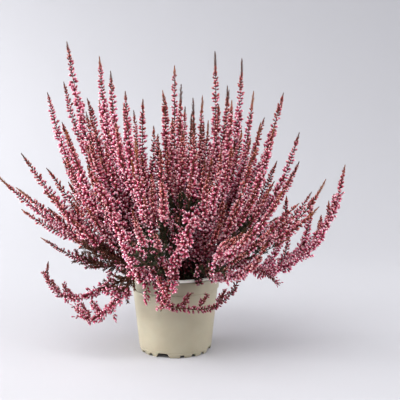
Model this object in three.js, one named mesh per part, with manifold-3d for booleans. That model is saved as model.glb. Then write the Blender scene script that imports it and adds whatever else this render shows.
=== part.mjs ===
// Potted heather: a bushy bud-flowering heather standing in a moulded nursery pot.
// Millimetres, +Z up. The origin is the middle of the pot's foot, on the surface it stands on.
import * as THREE from "three";
import { mergeVertices } from "three/addons/utils/BufferGeometryUtils.js";
import Module from "manifold-3d";

const wasm = await Module();
wasm.setup();

// ---- driving dimensions -------------------------------------------------------------------

const POT = {
  height: 96.5,
  rimRadius: 55.2,
  lipHeight: 3.3,
  lipOverhang: 1,
  collarHeight: 18,
  ledge: 1.4,
  wall: 1.4,
  footLine: 6.9,
  footLineRadius: 45.2,
  footRadius: 43.8,
  footWidth: 2.4,
  floorTop: 8.2,
  floorThickness: 1.4,
  segments: 32,
};
// Corners of the rolled lip: set in from the rim, and height over the lip's foot.
const LIP_CORNERS = [[0.1, 0.5], [0, 2.2], [0.8, POT.lipHeight]];
const LEDGE_EDGE = 0.2;
// The mouth's inner edge is broken, and the inside narrows a little below the ledge.
const MOUTH = { flat: 0.1, chamfer: 0.4, chamferDepth: 0.7, narrowsBelow: 2 };

// Openings through the foot ring: widths in degrees round the pot, below and at the top, and height.
const LARGE_NOTCH = { widthBelow: 24, widthAbove: 15, height: 5.6 };
const SMALL_NOTCH = { widthBelow: 8, widthAbove: 6, height: 3.4 };
const NOTCH_CUT = { depth: 12, outside: 8 };
// The large one nearest the front, and the small ones after each large one, in degrees.
const FIRST_NOTCH = -18;
const SMALL_NOTCH_OFFSETS = [30.5, 49.5, 67.5];
const DRAIN_HOLES = { count: 8, radius: 4, circle: 30, sides: 6, length: 6 };

const SOIL = { top: 85.5, shoulder: 1, seat: 0.3, segments: 18, rings: [0.96, 0.5] };
// Low lumps on the soil: their height, and how fast they repeat along X and Y in radians per mm.
const LUMPS = { height: 0.9, fast: 0.4, slow: 0.2 };
// Plain holes that the stems stand in.
const HOLE = { radius: 2.3, depth: 10, above: 5, sides: 4 };

// How a rising stem leaves the soil: the ring that it stands on grows with its lean, and it starts
// out further from upright than the straight line to its tip.
const CROWN = { radius: 37, fullLean: 58, spread: 0.7, rise: 4 };
const START = { share: 1.3, lean: 12, steepest: 57 };
const HANDLE_SHARE = 0.38;
const COURSE_STEPS = { rising: 60, trailing: 90, side: 30 };

const STEM_RADIUS = 1.3;
// Height of one band of buds, larger than life, on each kind of spike.
const PITCH = { rising: 18.5, trailing: 12, side: 16, shoot: 7 };
// Buds: how thick the core under them is, how far their points lean up, and where they stop.
const BUD = { coreShare: 0.5, thinnestCore: 1.4, lift: 3.6, bareBelow: 4 };
const TIP_SETBACK = 0.2;

// A side spike: where along the main stem it leaves, is widest and ends, how far off it stands, and
// the gap that it keeps to other sprays. It is turned round the stem in even steps until it is clear.
const SIDE = {
  leaves: 0.48,
  widest: 0.63,
  ends: 0.86,
  stands: 15,
  bulge: 1.1,
  gap: 0.5,
  turns: 12,
  firstTurn: 2.4,
};
const SWEEP_STEP = 5;
// A short shoot that stands up from a trailing stem.
const SHOOT = { height: 18, lean: 11 };

// Reach of the buds from the stem, by the distance from the tip and by the distance from the root.
const RISING_REACH = {
  fromTip: [[0, 0.6], [15, 1.9], [24, 4.4], [60, 5.7], [110, 6.8], [190, 7.4]],
  fromRoot: [[0, STEM_RADIUS], [14, STEM_RADIUS], [22, 3.0], [48, 4.6], [80, 7.4]],
};
const TRAILING_REACH = {
  fromTip: [[0, 0.6], [12, 1.9], [20, 4.2], [60, 5.2]],
  fromRoot: [[0, STEM_RADIUS], [20, STEM_RADIUS], [34, 4.2], [60, 5.2]],
};
const SIDE_REACH = {
  fromTip: [[0, 0.6], [10, 1.7], [17, 4.2], [60, 5.4]],
  fromRoot: [[0, 2.4], [14, 3.0], [34, 5.4]],
};
const SHOOT_REACH = {
  fromTip: [[0, 0.6], [6, 1.8], [8, 4.2]],
  fromRoot: [[0, 2.4], [6, 4.2]],
};

const POT_LOOK = { color: 0xbdb5a2, roughness: 0.62, metalness: 0 };
const SOIL_LOOK = { color: 0x2b2019, roughness: 1, metalness: 0 };
const SPRAY_LOOKS = [
  { color: 0xa35a6a, roughness: 0.75, metalness: 0 },
  { color: 0x934c5c, roughness: 0.75, metalness: 0 },
  { color: 0xb0707f, roughness: 0.75, metalness: 0 },
];

// Tips of the sprays that rise from the crown: [x, y, z, curl in degrees].
const RISING = [
  [-134, 20, 381, 13],
  [-218, -10, 219, 10],
  [-161, 28, 319, 18],
  [153, 6, 269, 20],
  [136, 30, 319, 11],
  [176, -51, 215, 26],
  [-32, -186, 188, 18],
  [5, 186, 190, 20],
  [49, 10, 368, 10],
  [84, 40, 363, 14],
  [-91, 0, 360, 12],
  [-2, 50, 355, 8],
  [-73, -36, 339, 12],
  [-15, 6, 320, -6],
  [9, -38, 324, -6],
  [34, 62, 318, 8],
  [96, 0, 319, 12],
  [-179, -35, 244, 11],
  [-123, -53, 272, 14],
  [-104, -25, 293, 12],
  [-101, 60, 312, 14],
  [-53, -64, 314, 12],
  [-37, -20, 308, 10],
  [22, 20, 312, 6],
  [68, -30, 306, 12],
  [117, -40, 274, 16],
  [175, 41, 193, 24],
  [150, 112, 214, 20],
  [-40, -90, 262, 14],
  [-11, -112, 249, 16],
  [24, -59, 284, 12],
  [54, -100, 249, 14],
  [86, -90, 238, 16],
  [-138, -58, 198, 18],
  [-148, 70, 222, 18],
  [118, -112, 205, 18],
  [84, -165, 176, 20],
  [-60, 100, 300, 12],
  [10, 112, 306, 12],
  [75, 105, 298, 12],
  [-120, 130, 236, 16],
  [-30, 150, 260, 16],
  [45, 155, 250, 16],
  [-85, 160, 205, 18],
  [95, 160, 200, 18],
];

// Sprays that trail or arch low over the rim, each along its own points from the soil to the tip.
const TRAILING = [
  {
    course: [[-27, -13, 89.5], [-44, -28, 104], [-66, -40, 92], [-95, -40, 78], [-122, -36, 71],
      [-142, -33, 79], [-152, -31, 95], [-151, -30, 115]],
    shoots: [0.58, 0.67, 0.77],
  },
  {
    course: [[-24, -25, 89.5], [-38, -42, 105], [-54, -55, 90], [-68, -57, 72], [-82, -57, 57],
      [-97, -54, 51], [-109, -50, 56], [-119, -46, 64]],
    shoots: [0.6, 0.72],
  },
  {
    course: [[-36, 10, 89.5], [-56, 15, 105], [-84, 20, 99], [-116, 28, 104], [-148, 32, 118],
      [-175, 35, 134]],
    shoots: [],
  },
  {
    course: [[-18, -29, 89.5], [-25, -48, 106], [-30, -66, 98], [-37, -75, 105], [-45, -84, 126],
      [-57, -94, 156], [-70, -101, 192], [-84, -104, 226]],
    shoots: [0.4],
  },
  {
    course: [[6, -22, 89.5], [16, -42, 122], [26, -72, 166], [20, -92, 164], [9, -96, 134],
      [0, -92, 108], [-7, -89, 88], [-13, -87, 69]],
    shoots: [0.72, 0.84],
  },
  {
    course: [[-12, -34, 89.5], [-16, -52, 107], [-17, -64, 99], [-16, -71, 86], [-9, -74, 75],
      [4, -74, 69], [20, -74, 68], [36, -72, 67], [50, -69, 71], [62, -65, 79], [71, -60, 90],
      [78, -55, 104], [82, -50, 118]],
    shoots: [0.44, 0.54, 0.67],
  },
  {
    course: [[36, -2, 89.5], [55, -8, 103], [92, -14, 104], [113, -17, 96], [127, -22, 84]],
    shoots: [],
  },
  {
    course: [[34, 16, 89.5], [58, 24, 104], [112, 30, 92], [149, 34, 102], [178, 38, 124],
      [198, 40, 156], [210, 42, 189], [218, 42, 228]],
    shoots: [0.42, 0.56],
  },
  {
    course: [[-28, 24, 89.5], [-46, 38, 107], [-88, 72, 104], [-126, 102, 122], [-150, 122, 160]],
    shoots: [],
  },
  {
    course: [[26, 28, 89.5], [40, 46, 107], [78, 88, 104], [108, 118, 124], [126, 136, 162]],
    shoots: [],
  },
  {
    course: [[20, -30, 89.5], [32, -48, 107], [60, -86, 106], [86, -118, 124], [100, -136, 154]],
    shoots: [],
  },
];

// ---- helpers ------------------------------------------------------------------------------

const MERGE_WITHIN = 1e-4;
const radians = THREE.MathUtils.degToRad;
const degrees = THREE.MathUtils.radToDeg;

// Value of a line drawn through [at, value] points.
function valueAt(profile, at) {
  if (at <= profile[0][0]) return profile[0][1];
  for (let i = 1; i < profile.length; i += 1) {
    const [start, low] = profile[i - 1];
    const [end, high] = profile[i];
    if (at <= end) return low + ((high - low) * (at - start)) / (end - start);
  }
  return profile[profile.length - 1][1];
}

// A closed geometry as a solid: shared corners are merged and faces that vanish are left out.
function toSolid(geometry) {
  const plain = geometry.clone();
  plain.deleteAttribute("normal");
  plain.deleteAttribute("uv");
  const mesh = mergeVertices(plain, MERGE_WITHIN);
  const corners = [];
  for (let i = 0; i < mesh.index.count; i += 3) {
    const [a, b, c] = mesh.index.array.slice(i, i + 3);
    if (a !== b && b !== c && c !== a) corners.push(a, b, c);
  }
  return new wasm.Manifold(new wasm.Mesh({
    numProp: 3,
    vertProperties: Float32Array.from(mesh.attributes.position.array),
    triVerts: Uint32Array.from(corners),
  }));
}

function toGeometry(solid) {
  const mesh = solid.getMesh();
  const geometry = new THREE.BufferGeometry();
  geometry.setAttribute("position", new THREE.BufferAttribute(mesh.vertProperties, 3));
  geometry.setIndex(new THREE.BufferAttribute(mesh.triVerts, 1));
  return geometry;
}

function named(name, geometry, look) {
  const drawn = geometry.toNonIndexed();
  drawn.computeVertexNormals();
  const mesh = new THREE.Mesh(drawn, new THREE.MeshStandardMaterial(look));
  mesh.name = name;
  return mesh;
}

// A closed profile of [radius, z] points turned about Z.
function turned(profile, segments) {
  const outline = profile.map(([radius, z]) => new THREE.Vector2(radius, z));
  return new THREE.LatheGeometry(outline, segments).rotateX(Math.PI / 2);
}

// ---- pot ----------------------------------------------------------------------------------

const ledgeZ = POT.height - POT.collarHeight;
const collarRadius = POT.rimRadius - POT.lipOverhang;
const bodyTopRadius = collarRadius - POT.ledge;

function wallRadius(z) {
  const share = (z - POT.footLine) / (ledgeZ - POT.footLine);
  return POT.footLineRadius + (bodyTopRadius - POT.footLineRadius) * share;
}

function potProfile() {
  const footInner = POT.footRadius - POT.footWidth;
  const lipFoot = POT.height - POT.lipHeight;
  const mouth = collarRadius - POT.wall;
  return [
    [0, POT.floorTop - POT.floorThickness],
    [footInner, POT.floorTop - POT.floorThickness],
    [footInner, 0],
    [POT.footRadius, 0],
    [POT.footLineRadius, POT.footLine],
    [bodyTopRadius, ledgeZ],
    [collarRadius - LEDGE_EDGE, ledgeZ],
    [collarRadius, lipFoot],
    ...LIP_CORNERS.map(([inwards, height]) => [POT.rimRadius - inwards, lipFoot + height]),
    [mouth - MOUTH.flat, POT.height],
    [mouth - MOUTH.chamfer, POT.height - MOUTH.chamferDepth],
    [wallRadius(ledgeZ) - POT.wall, ledgeZ - MOUTH.narrowsBelow],
    [wallRadius(POT.floorTop) - POT.wall, POT.floorTop],
    [0, POT.floorTop],
  ];
}

// A wedge that cuts one opening through the foot ring; its sides lean in towards the top.
function notchCutter(azimuth, size) {
  const reach = POT.footRadius;
  const half = (angle) => reach * Math.tan(radians(angle / 2));
  const shape = new THREE.Shape([
    new THREE.Vector2(-half(size.widthBelow), -1),
    new THREE.Vector2(half(size.widthBelow), -1),
    new THREE.Vector2(half(size.widthAbove), size.height),
    new THREE.Vector2(-half(size.widthAbove), size.height),
  ]);
  const cutter = new THREE.ExtrudeGeometry(shape, { depth: NOTCH_CUT.depth, bevelEnabled: false });
  cutter.rotateX(Math.PI / 2);
  cutter.translate(0, NOTCH_CUT.outside - reach, 0);
  cutter.rotateZ(radians(azimuth));
  return toSolid(cutter);
}

// An upright cutter for a plain hole, with the middle of its length at z.
function drill({ radius, sides }, length, x, y, z) {
  const cutter = new THREE.CylinderGeometry(radius, radius, length, sides);
  return toSolid(cutter.rotateX(Math.PI / 2).translate(x, y, z));
}

function makePot() {
  let body = toSolid(turned(potProfile(), POT.segments));
  for (let quarter = 0; quarter < 4; quarter += 1) {
    const start = FIRST_NOTCH + quarter * 90;
    body = body.subtract(notchCutter(start, LARGE_NOTCH));
    for (const offset of SMALL_NOTCH_OFFSETS) {
      body = body.subtract(notchCutter(start + offset, SMALL_NOTCH));
    }
  }
  for (let index = 0; index < DRAIN_HOLES.count; index += 1) {
    const angle = (index * 2 * Math.PI) / DRAIN_HOLES.count;
    const [x, y] = [DRAIN_HOLES.circle * Math.cos(angle), DRAIN_HOLES.circle * Math.sin(angle)];
    body = body.subtract(drill(DRAIN_HOLES, DRAIN_HOLES.length, x, y, POT.floorTop));
  }
  return toGeometry(body);
}

// ---- soil ---------------------------------------------------------------------------------

function makeSoil(roots) {
  const foot = POT.floorTop + SOIL.seat;
  const gap = POT.wall + SOIL.seat;
  const shoulderZ = ledgeZ - MOUTH.narrowsBelow;
  const radius = wallRadius(shoulderZ) - gap;
  const profile = [
    [0, foot],
    [wallRadius(foot) - gap, foot],
    [radius, shoulderZ],
    [radius, SOIL.top - SOIL.shoulder],
    ...SOIL.rings.map((share) => [radius * share, SOIL.top]),
    [0, SOIL.top],
  ];
  const lump = turned(profile, SOIL.segments);
  const position = lump.attributes.position;
  for (let i = 0; i < position.count; i += 1) {
    const [x, y, z] = [position.getX(i), position.getY(i), position.getZ(i)];
    if (z < SOIL.top - SOIL.shoulder / 2) continue;
    const across = Math.sin(x * LUMPS.fast + y * LUMPS.slow);
    const back = Math.cos(y * LUMPS.fast - x * LUMPS.slow);
    position.setZ(i, z + LUMPS.height * across * back);
  }
  let soil = toSolid(lump);
  for (const [x, y] of roots) {
    const length = HOLE.depth + HOLE.above;
    soil = soil.subtract(drill(HOLE, length, x, y, SOIL.top - HOLE.depth + length / 2));
  }
  return toGeometry(soil);
}

// ---- courses of the sprays ----------------------------------------------------------------

// Points at an equal step along a fine line of points; the last point is kept.
function stepped(line, step) {
  const lengths = [0];
  for (let i = 1; i < line.length; i += 1) {
    lengths.push(lengths[i - 1] + line[i].distanceTo(line[i - 1]));
  }
  const total = lengths[lengths.length - 1];
  const count = Math.max(2, Math.round(total / step));
  const points = [];
  let segment = 1;
  for (let i = 0; i <= count; i += 1) {
    const at = (total * i) / count;
    while (segment < line.length - 1 && lengths[segment] < at) segment += 1;
    const share = (at - lengths[segment - 1]) / (lengths[segment] - lengths[segment - 1]);
    points.push(line[segment - 1].clone().lerp(line[segment], share));
  }
  return { points, total, step: total / count };
}

// The course of a rising spray lies in an upright plane through the pot's axis: it leaves the soil
// leaning further out than its tip, and curls up towards the light.
function risingLine([x, y, z, curl]) {
  const out = Math.hypot(x, y);
  const azimuth = Math.atan2(y, x);
  const foot = SOIL.top + CROWN.rise;
  const lean = degrees(Math.atan2(out, z - foot));
  const root = CROWN.radius * Math.min(1, lean / CROWN.fullLean) ** CROWN.spread;
  const chord = degrees(Math.atan2(out - root, z - foot));
  const leaving = radians(Math.min(START.steepest, START.share * chord + START.lean));
  const arriving = radians(chord - curl);
  const handle = Math.hypot(out - root, z - foot) * HANDLE_SHARE;
  const place = (radius, height) => new THREE.Vector3(
    radius * Math.cos(azimuth),
    radius * Math.sin(azimuth),
    height,
  );
  return new THREE.CubicBezierCurve3(
    place(root, foot),
    place(root + handle * Math.sin(leaving), foot + handle * Math.cos(leaving)),
    place(out - handle * Math.sin(arriving), z - handle * Math.cos(arriving)),
    place(out, z),
  ).getPoints(COURSE_STEPS.rising);
}

function trailingLine(points) {
  const course = points.map(([x, y, z]) => new THREE.Vector3(x, y, z));
  return new THREE.CatmullRomCurve3(course, false, "catmullrom", 0.5).getPoints(COURSE_STEPS.trailing);
}

const reachBy = ({ fromTip, fromRoot }) => (at, total) => (
  Math.min(valueAt(fromTip, total - at), valueAt(fromRoot, at))
);

// Discs that a spike sweeps, used to keep the spikes out of each other.
function discs(line, profile) {
  const { points, total, step } = stepped(line, SWEEP_STEP);
  const reachAt = reachBy(profile);
  return points.map((point, i) => ({ point, reach: reachAt(i * step, total) }));
}

function isClear(candidate, others) {
  return candidate.every(({ point, reach }) => others.every((other) => (
    point.distanceTo(other.point) > reach + other.reach + SIDE.gap
  )));
}

// A side spike leaves the main stem at a slant, then runs up beside it.
function sideLine(main, turn) {
  const pointAt = (share) => main[Math.round((main.length - 1) * share)];
  const root = pointAt(SIDE.leaves);
  const beside = pointAt(SIDE.widest);
  const top = pointAt(SIDE.ends);
  const forward = top.clone().sub(root).normalize();
  const across = new THREE.Vector3(forward.y, -forward.x, 0).normalize();
  const other = forward.clone().cross(across);
  const away = across.multiplyScalar(Math.cos(turn)).addScaledVector(other, Math.sin(turn));
  return new THREE.QuadraticBezierCurve3(
    root.clone(),
    beside.clone().addScaledVector(away, SIDE.stands * SIDE.bulge),
    top.clone().addScaledVector(away, SIDE.stands),
  ).getPoints(COURSE_STEPS.side);
}

// The first turn round the main stem at which a side spike is clear of the other sprays, if any.
function clearSideLine(spray, index, sprays) {
  const others = sprays.filter((other) => other !== spray).flatMap((other) => other.swept);
  for (let attempt = 0; attempt < SIDE.turns; attempt += 1) {
    const turn = index * SIDE.firstTurn + (attempt * 2 * Math.PI) / SIDE.turns;
    const line = sideLine(spray.line, turn);
    const swept = discs(line, SIDE_REACH);
    if (isClear(swept, others)) return { line, swept };
  }
  return null;
}

// A short shoot stands up from a trailing stem, leaning towards its tip.
function shootLine(main, share) {
  const at = Math.round((main.length - 1) * share);
  const root = main[at];
  const forward = main[at + 1].clone().sub(main[at - 1]).setZ(0).normalize();
  const tip = root.clone().addScaledVector(forward, SHOOT.lean);
  tip.z += SHOOT.height;
  return [root, tip];
}

function layOut() {
  const sprays = TRAILING.map(({ course, shoots }) => {
    const line = trailingLine(course);
    return { line, shoots, swept: discs(line, TRAILING_REACH), spikes: [], rises: false };
  });
  for (const tip of RISING) {
    const line = risingLine(tip);
    sprays.push({ line, shoots: [], swept: discs(line, RISING_REACH), spikes: [], rises: true });
  }
  sprays.forEach((spray, index) => {
    const side = spray.rises ? clearSideLine(spray, index, sprays) : null;
    if (!side) return;
    spray.spikes.push(side.line);
    spray.swept.push(...side.swept);
  });
  return sprays;
}

// ---- budded spikes ------------------------------------------------------------------------

// Rings of three corners along a line; each ring is turned half a step from the one below.
function ringsAlong(line, profile, pitch, foot) {
  const reachAt = reachBy(profile);
  const { points, total, step } = stepped(line, pitch);
  const distances = points.map((point, i) => i * step);
  if (foot) {
    points.unshift(foot);
    distances.unshift(0);
  }
  const across = new THREE.Vector3(1, 0, 0);
  return points.map((point, i) => {
    const ahead = points[Math.min(points.length - 1, i + 1)];
    const behind = points[Math.max(0, i - 1)];
    const forward = ahead.clone().sub(behind).normalize();
    across.addScaledVector(forward, -across.dot(forward)).normalize();
    const other = forward.clone().cross(across);
    const reach = reachAt(distances[i], total);
    const budded = reach > BUD.bareBelow;
    const radius = budded ? Math.max(reach * BUD.coreShare, BUD.thinnestCore) : reach;
    const corners = [0, 1, 2].map((corner) => {
      const angle = ((corner + (i % 2) / 2) * 2 * Math.PI) / 3;
      return point.clone()
        .addScaledVector(across, radius * Math.cos(angle))
        .addScaledVector(other, radius * Math.sin(angle));
    });
    return { point, forward, reach, budded, corners };
  });
}

// The point of a bud over one face of the band between two rings; it leans up the stem.
function budPoint(face, low, high) {
  const middle = face.reduce((sum, corner) => sum.add(corner), new THREE.Vector3()).divideScalar(3);
  const rise = high.point.distanceTo(low.point);
  const share = THREE.MathUtils.clamp(middle.clone().sub(low.point).dot(low.forward) / rise, 0, 1);
  const axis = low.point.clone().lerp(high.point, share);
  const away = middle.sub(axis).normalize();
  const reach = THREE.MathUtils.lerp(low.reach, high.reach, share);
  return axis.addScaledVector(away, reach).addScaledVector(low.forward, BUD.lift);
}

// A closed spike: each band between rings is six triangles, and where there are buds each triangle
// is raised to a point. The last ring is drawn together to one point.
function buddedSpike(line, profile, pitch, foot = null) {
  const rings = ringsAlong(line, profile, pitch, foot);
  const top = rings.pop();
  const tip = top.point.clone().addScaledVector(top.forward, -TIP_SETBACK);
  const faces = [[rings[0].corners[0], rings[0].corners[2], rings[0].corners[1]]];
  rings.forEach((low, i) => {
    const high = rings[i + 1];
    for (let corner = 0; corner < 3; corner += 1) {
      const next = (corner + 1) % 3;
      const [a, b] = [low.corners[corner], low.corners[next]];
      if (!high) {
        faces.push([a, b, tip]);
        continue;
      }
      const [c, d] = [high.corners[corner], high.corners[next]];
      const band = i % 2 ? [[a, b, d], [a, d, c]] : [[a, b, c], [b, d, c]];
      for (const face of band) {
        if (!low.budded || !high.budded) {
          faces.push(face);
          continue;
        }
        const point = budPoint(face, low, high);
        faces.push([face[0], face[1], point], [face[1], face[2], point], [face[2], face[0], point]);
      }
    }
  });
  return new THREE.BufferGeometry().setFromPoints(faces.flat());
}

// ---- assembly -----------------------------------------------------------------------------

function makeSpray({ line, rises, spikes, shoots }) {
  const foot = line[0].clone();
  foot.z = SOIL.top - HOLE.depth + SOIL.seat;
  const profile = rises ? RISING_REACH : TRAILING_REACH;
  const pitch = rises ? PITCH.rising : PITCH.trailing;
  let body = toSolid(buddedSpike(line, profile, pitch, foot));
  for (const spike of spikes) {
    body = body.add(toSolid(buddedSpike(spike, SIDE_REACH, PITCH.side)));
  }
  for (const share of shoots) {
    body = body.add(toSolid(buddedSpike(shootLine(line, share), SHOOT_REACH, PITCH.shoot)));
  }
  return toGeometry(body);
}

const sprays = layOut();
const roots = sprays.map(({ line }) => [line[0].x, line[0].y]);

const heather = new THREE.Group();
heather.add(named("pot", makePot(), POT_LOOK));
heather.add(named("soil", makeSoil(roots), SOIL_LOOK));
sprays.forEach((spray, index) => {
  const name = `spray_${String(index + 1).padStart(2, "0")}`;
  heather.add(named(name, makeSpray(spray), SPRAY_LOOKS[index % SPRAY_LOOKS.length]));
});

export default heather;
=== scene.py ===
"""A potted heather: the finish of its moulded nursery pot, its peat and its flowering sprays.

Metres, +Z up, with the origin under the middle of the pot's foot. Lengths are written in
millimetres and turned to metres when a mesh is made.
"""
import math
import random

import bpy
import numpy as np
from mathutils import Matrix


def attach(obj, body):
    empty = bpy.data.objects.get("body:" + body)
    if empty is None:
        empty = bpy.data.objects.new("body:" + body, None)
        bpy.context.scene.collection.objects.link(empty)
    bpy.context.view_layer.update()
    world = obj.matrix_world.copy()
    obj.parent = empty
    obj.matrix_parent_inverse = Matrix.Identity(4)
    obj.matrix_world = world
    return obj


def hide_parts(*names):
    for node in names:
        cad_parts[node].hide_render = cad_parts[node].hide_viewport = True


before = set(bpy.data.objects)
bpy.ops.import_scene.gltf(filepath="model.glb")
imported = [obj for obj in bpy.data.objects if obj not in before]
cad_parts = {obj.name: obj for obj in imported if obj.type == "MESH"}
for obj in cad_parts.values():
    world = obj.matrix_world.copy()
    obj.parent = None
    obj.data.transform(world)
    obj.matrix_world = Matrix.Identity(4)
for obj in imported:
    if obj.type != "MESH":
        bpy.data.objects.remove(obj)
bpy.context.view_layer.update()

MM = 0.001
UP = np.array([0.0, 0.0, 1.0])
# A direction that no stem follows, from which the sides of every stem are counted.
ASKEW = np.array([0.45, 0.86, 0.24])

# ---- pot and peat ---------------------------------------------------------------------------

POT_HEIGHT = 96.5
RIM_RADIUS = 55.2
LIP_HEIGHT = 3.3
COLLAR_RADIUS = 54.2
LEDGE_Z = 78.5
LEDGE = 1.4
# Depth of the fine shadow lines that run under the lip and under the ledge.
GROOVE = 0.7
WALL = 1.4
FOOT_LINE = 6.9
FOOT_LINE_RADIUS = 45.2
FOOT_LINE_STEP = 0.6
FOOT_RADIUS = 43.8
FOOT_WIDTH = 2.4
FLOOR_TOP = 8.2
POT_SEGMENTS = 144
EDGE_ROUND = 0.22
# Edges that turn by more than the first angle are rounded, and by more than the second kept sharp.
EDGE_ANGLE = 50
SHARP_ANGLE = 38

# Openings through the foot: width below, width above and height. One large notch and three small
# ones follow each other in every quarter, at these turns in degrees from the front.
LARGE_NOTCH = (18.6, 11.5, 5.6)
SMALL_NOTCH = (6.1, 4.6, 3.4)
FIRST_NOTCH = -18
SMALL_NOTCH_OFFSETS = (30.5, 49.5, 67.5)
# A notch's cutter is this deep and starts this far under the foot.
NOTCH_DEPTH = 9
NOTCH_BELOW = 1
DRAIN_HOLES = 8
DRAIN_RADIUS = 4.0
DRAIN_CIRCLE = 30.0
DRAIN_DEPTH = 8
DRAIN_SEGMENTS = 28

SOIL_TOP = 85.5
SOIL_GAP = 0.3
SOIL_RINGS = 34
SOIL_SEGMENTS = 96
SOIL_SHARP_ANGLE = 60
# Lumps in the peat's surface, which is all that lies this close under its top: how wide they are
# and how far they stand up and down.
SURFACE_DEPTH = 3
CLODS = [(9, 2.6), (2.5, 1.3)]
# Loose crumbs on it: how many, how far they stay from the wall, how wide and how high they are,
# with most of them small, how knobbly, and how far over or under the surface they lie.
CRUMBS = 620
CRUMB_SEED = 5
CRUMB_MARGIN = 2
CRUMB_SIZE = (0.4, 1.5)
CRUMB_POWER = 1.3
CRUMB_WIDTH = (0.7, 1.4)
CRUMB_HEIGHT = (0.5, 0.9)
CRUMB_KNOBS = 0.3
CRUMB_LIES = (-0.4, 0.6)

# ---- courses of the sprays ------------------------------------------------------------------

# The rising sprays stand in a crown just over the peat: upright ones near its middle, and those
# whose tips lean out by the full angle or more at its edge.
CROWN_RADIUS = 37
CROWN_FULL_LEAN = 58
CROWN_SPREAD = 0.7
CROWN_RISE = 4
# Each sets out at this share of the lean of its chord and so much more, up to a limit.
START_SHARE = 1.3
START_LEAN = 12
STEEPEST_START = 57
HANDLE_SHARE = 0.38
# Height at which the stems end, in the peat.
STEM_FOOT = 75.8
# Steps along each kind of line.
RISING_STEPS = 60
TRAILING_STEPS = 90
SIDE_STEPS = 30
SHOOT_STEPS = 8
# A line's direction is taken between points that are this far to either side.
DIRECTION_SPAN = 1.5

# Tips of the sprays that rise from the crown: x, y, z and curl in degrees.
RISING = [
    (-134, 20, 381, 13), (-218, -10, 219, 10), (-161, 28, 319, 18), (153, 6, 269, 20),
    (136, 30, 319, 11), (176, -51, 215, 26), (-32, -186, 188, 18), (5, 186, 190, 20),
    (49, 10, 368, 10), (84, 40, 363, 14), (-91, 0, 360, 12), (-2, 50, 355, 8),
    (-73, -36, 339, 12), (-15, 6, 320, -6), (9, -38, 324, -6), (34, 62, 318, 8),
    (96, 0, 319, 12), (-179, -35, 244, 11), (-123, -53, 272, 14), (-104, -25, 293, 12),
    (-101, 60, 312, 14), (-53, -64, 314, 12), (-37, -20, 308, 10), (22, 20, 312, 6),
    (68, -30, 306, 12), (117, -40, 274, 16), (175, 41, 193, 24), (150, 112, 214, 20),
    (-40, -90, 262, 14), (-11, -112, 249, 16), (24, -59, 284, 12), (54, -100, 249, 14),
    (86, -90, 238, 16), (-138, -58, 198, 18), (-148, 70, 222, 18), (118, -112, 205, 18),
    (84, -165, 176, 20), (-60, 100, 300, 12), (10, 112, 306, 12), (75, 105, 298, 12),
    (-120, 130, 236, 16), (-30, 150, 260, 16), (45, 155, 250, 16), (-85, 160, 205, 18),
    (95, 160, 200, 18),
]

# Sprays that trail or arch low over the rim: the points of each from the soil to its tip, and
# where along it short shoots stand up.
TRAILING = [
    ([(-27, -13, 89.5), (-44, -28, 104), (-66, -40, 92), (-95, -40, 78), (-122, -36, 71),
      (-142, -33, 79), (-152, -31, 95), (-151, -30, 115)], (0.58, 0.67, 0.77)),
    ([(-24, -25, 89.5), (-38, -42, 105), (-54, -55, 90), (-68, -57, 72), (-82, -57, 57),
      (-97, -54, 51), (-109, -50, 56), (-119, -46, 64)], (0.6, 0.72)),
    ([(-36, 10, 89.5), (-56, 15, 105), (-84, 20, 99), (-116, 28, 104), (-148, 32, 118),
      (-175, 35, 134)], ()),
    ([(-18, -29, 89.5), (-25, -48, 106), (-30, -66, 98), (-37, -75, 105), (-45, -84, 126),
      (-57, -94, 156), (-70, -101, 192), (-84, -104, 226)], (0.4,)),
    ([(6, -22, 89.5), (16, -42, 122), (26, -72, 166), (20, -92, 164), (9, -96, 134),
      (0, -92, 108), (-7, -89, 88), (-13, -87, 69)], (0.72, 0.84)),
    ([(-12, -34, 89.5), (-16, -52, 107), (-17, -64, 99), (-16, -71, 86), (-9, -74, 75),
      (4, -74, 69), (20, -74, 68), (36, -72, 67), (50, -69, 71), (62, -65, 79), (71, -60, 90),
      (78, -55, 104), (82, -50, 118)], (0.44, 0.54, 0.67)),
    ([(36, -2, 89.5), (55, -8, 103), (92, -14, 104), (113, -17, 96), (127, -22, 84)], ()),
    ([(34, 16, 89.5), (58, 24, 104), (112, 30, 92), (149, 34, 102), (178, 38, 124),
      (198, 40, 156), (210, 42, 189), (218, 42, 228)], (0.42, 0.56)),
    ([(-28, 24, 89.5), (-46, 38, 107), (-88, 72, 104), (-126, 102, 122), (-150, 122, 160)], ()),
    ([(26, 28, 89.5), (40, 46, 107), (78, 88, 104), (108, 118, 124), (126, 136, 162)], ()),
    ([(20, -30, 89.5), (32, -48, 107), (60, -86, 106), (86, -118, 124), (100, -136, 154)], ()),
]

# A side spike leaves, is widest and ends at these shares of its main stem. It ends this far off
# the stem, and bulges a little further.
SIDE_LEAVES = 0.48
SIDE_WIDEST = 0.63
SIDE_ENDS = 0.86
SIDE_STANDS = 15
SIDE_BULGE = 1.1
# It takes the first of twelve turns round the stem that keeps this far from the other sprays. The
# first turn that is tried is 2.4 radians on from that of the spray before.
SIDE_GAP = 0.5
SIDE_TURNS = 12
SIDE_FIRST_TURN = 2.4
# Distance between the balls that stand for a spike there.
SWEEP_STEP = 5
SHOOT_HEIGHT = 18
SHOOT_LEAN = 11
# Handles of an upright side spike on an arching stem, as shares of its height.
TOOTH_LEAVES = 0.35
TOOTH_ARRIVES = 0.45

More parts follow.
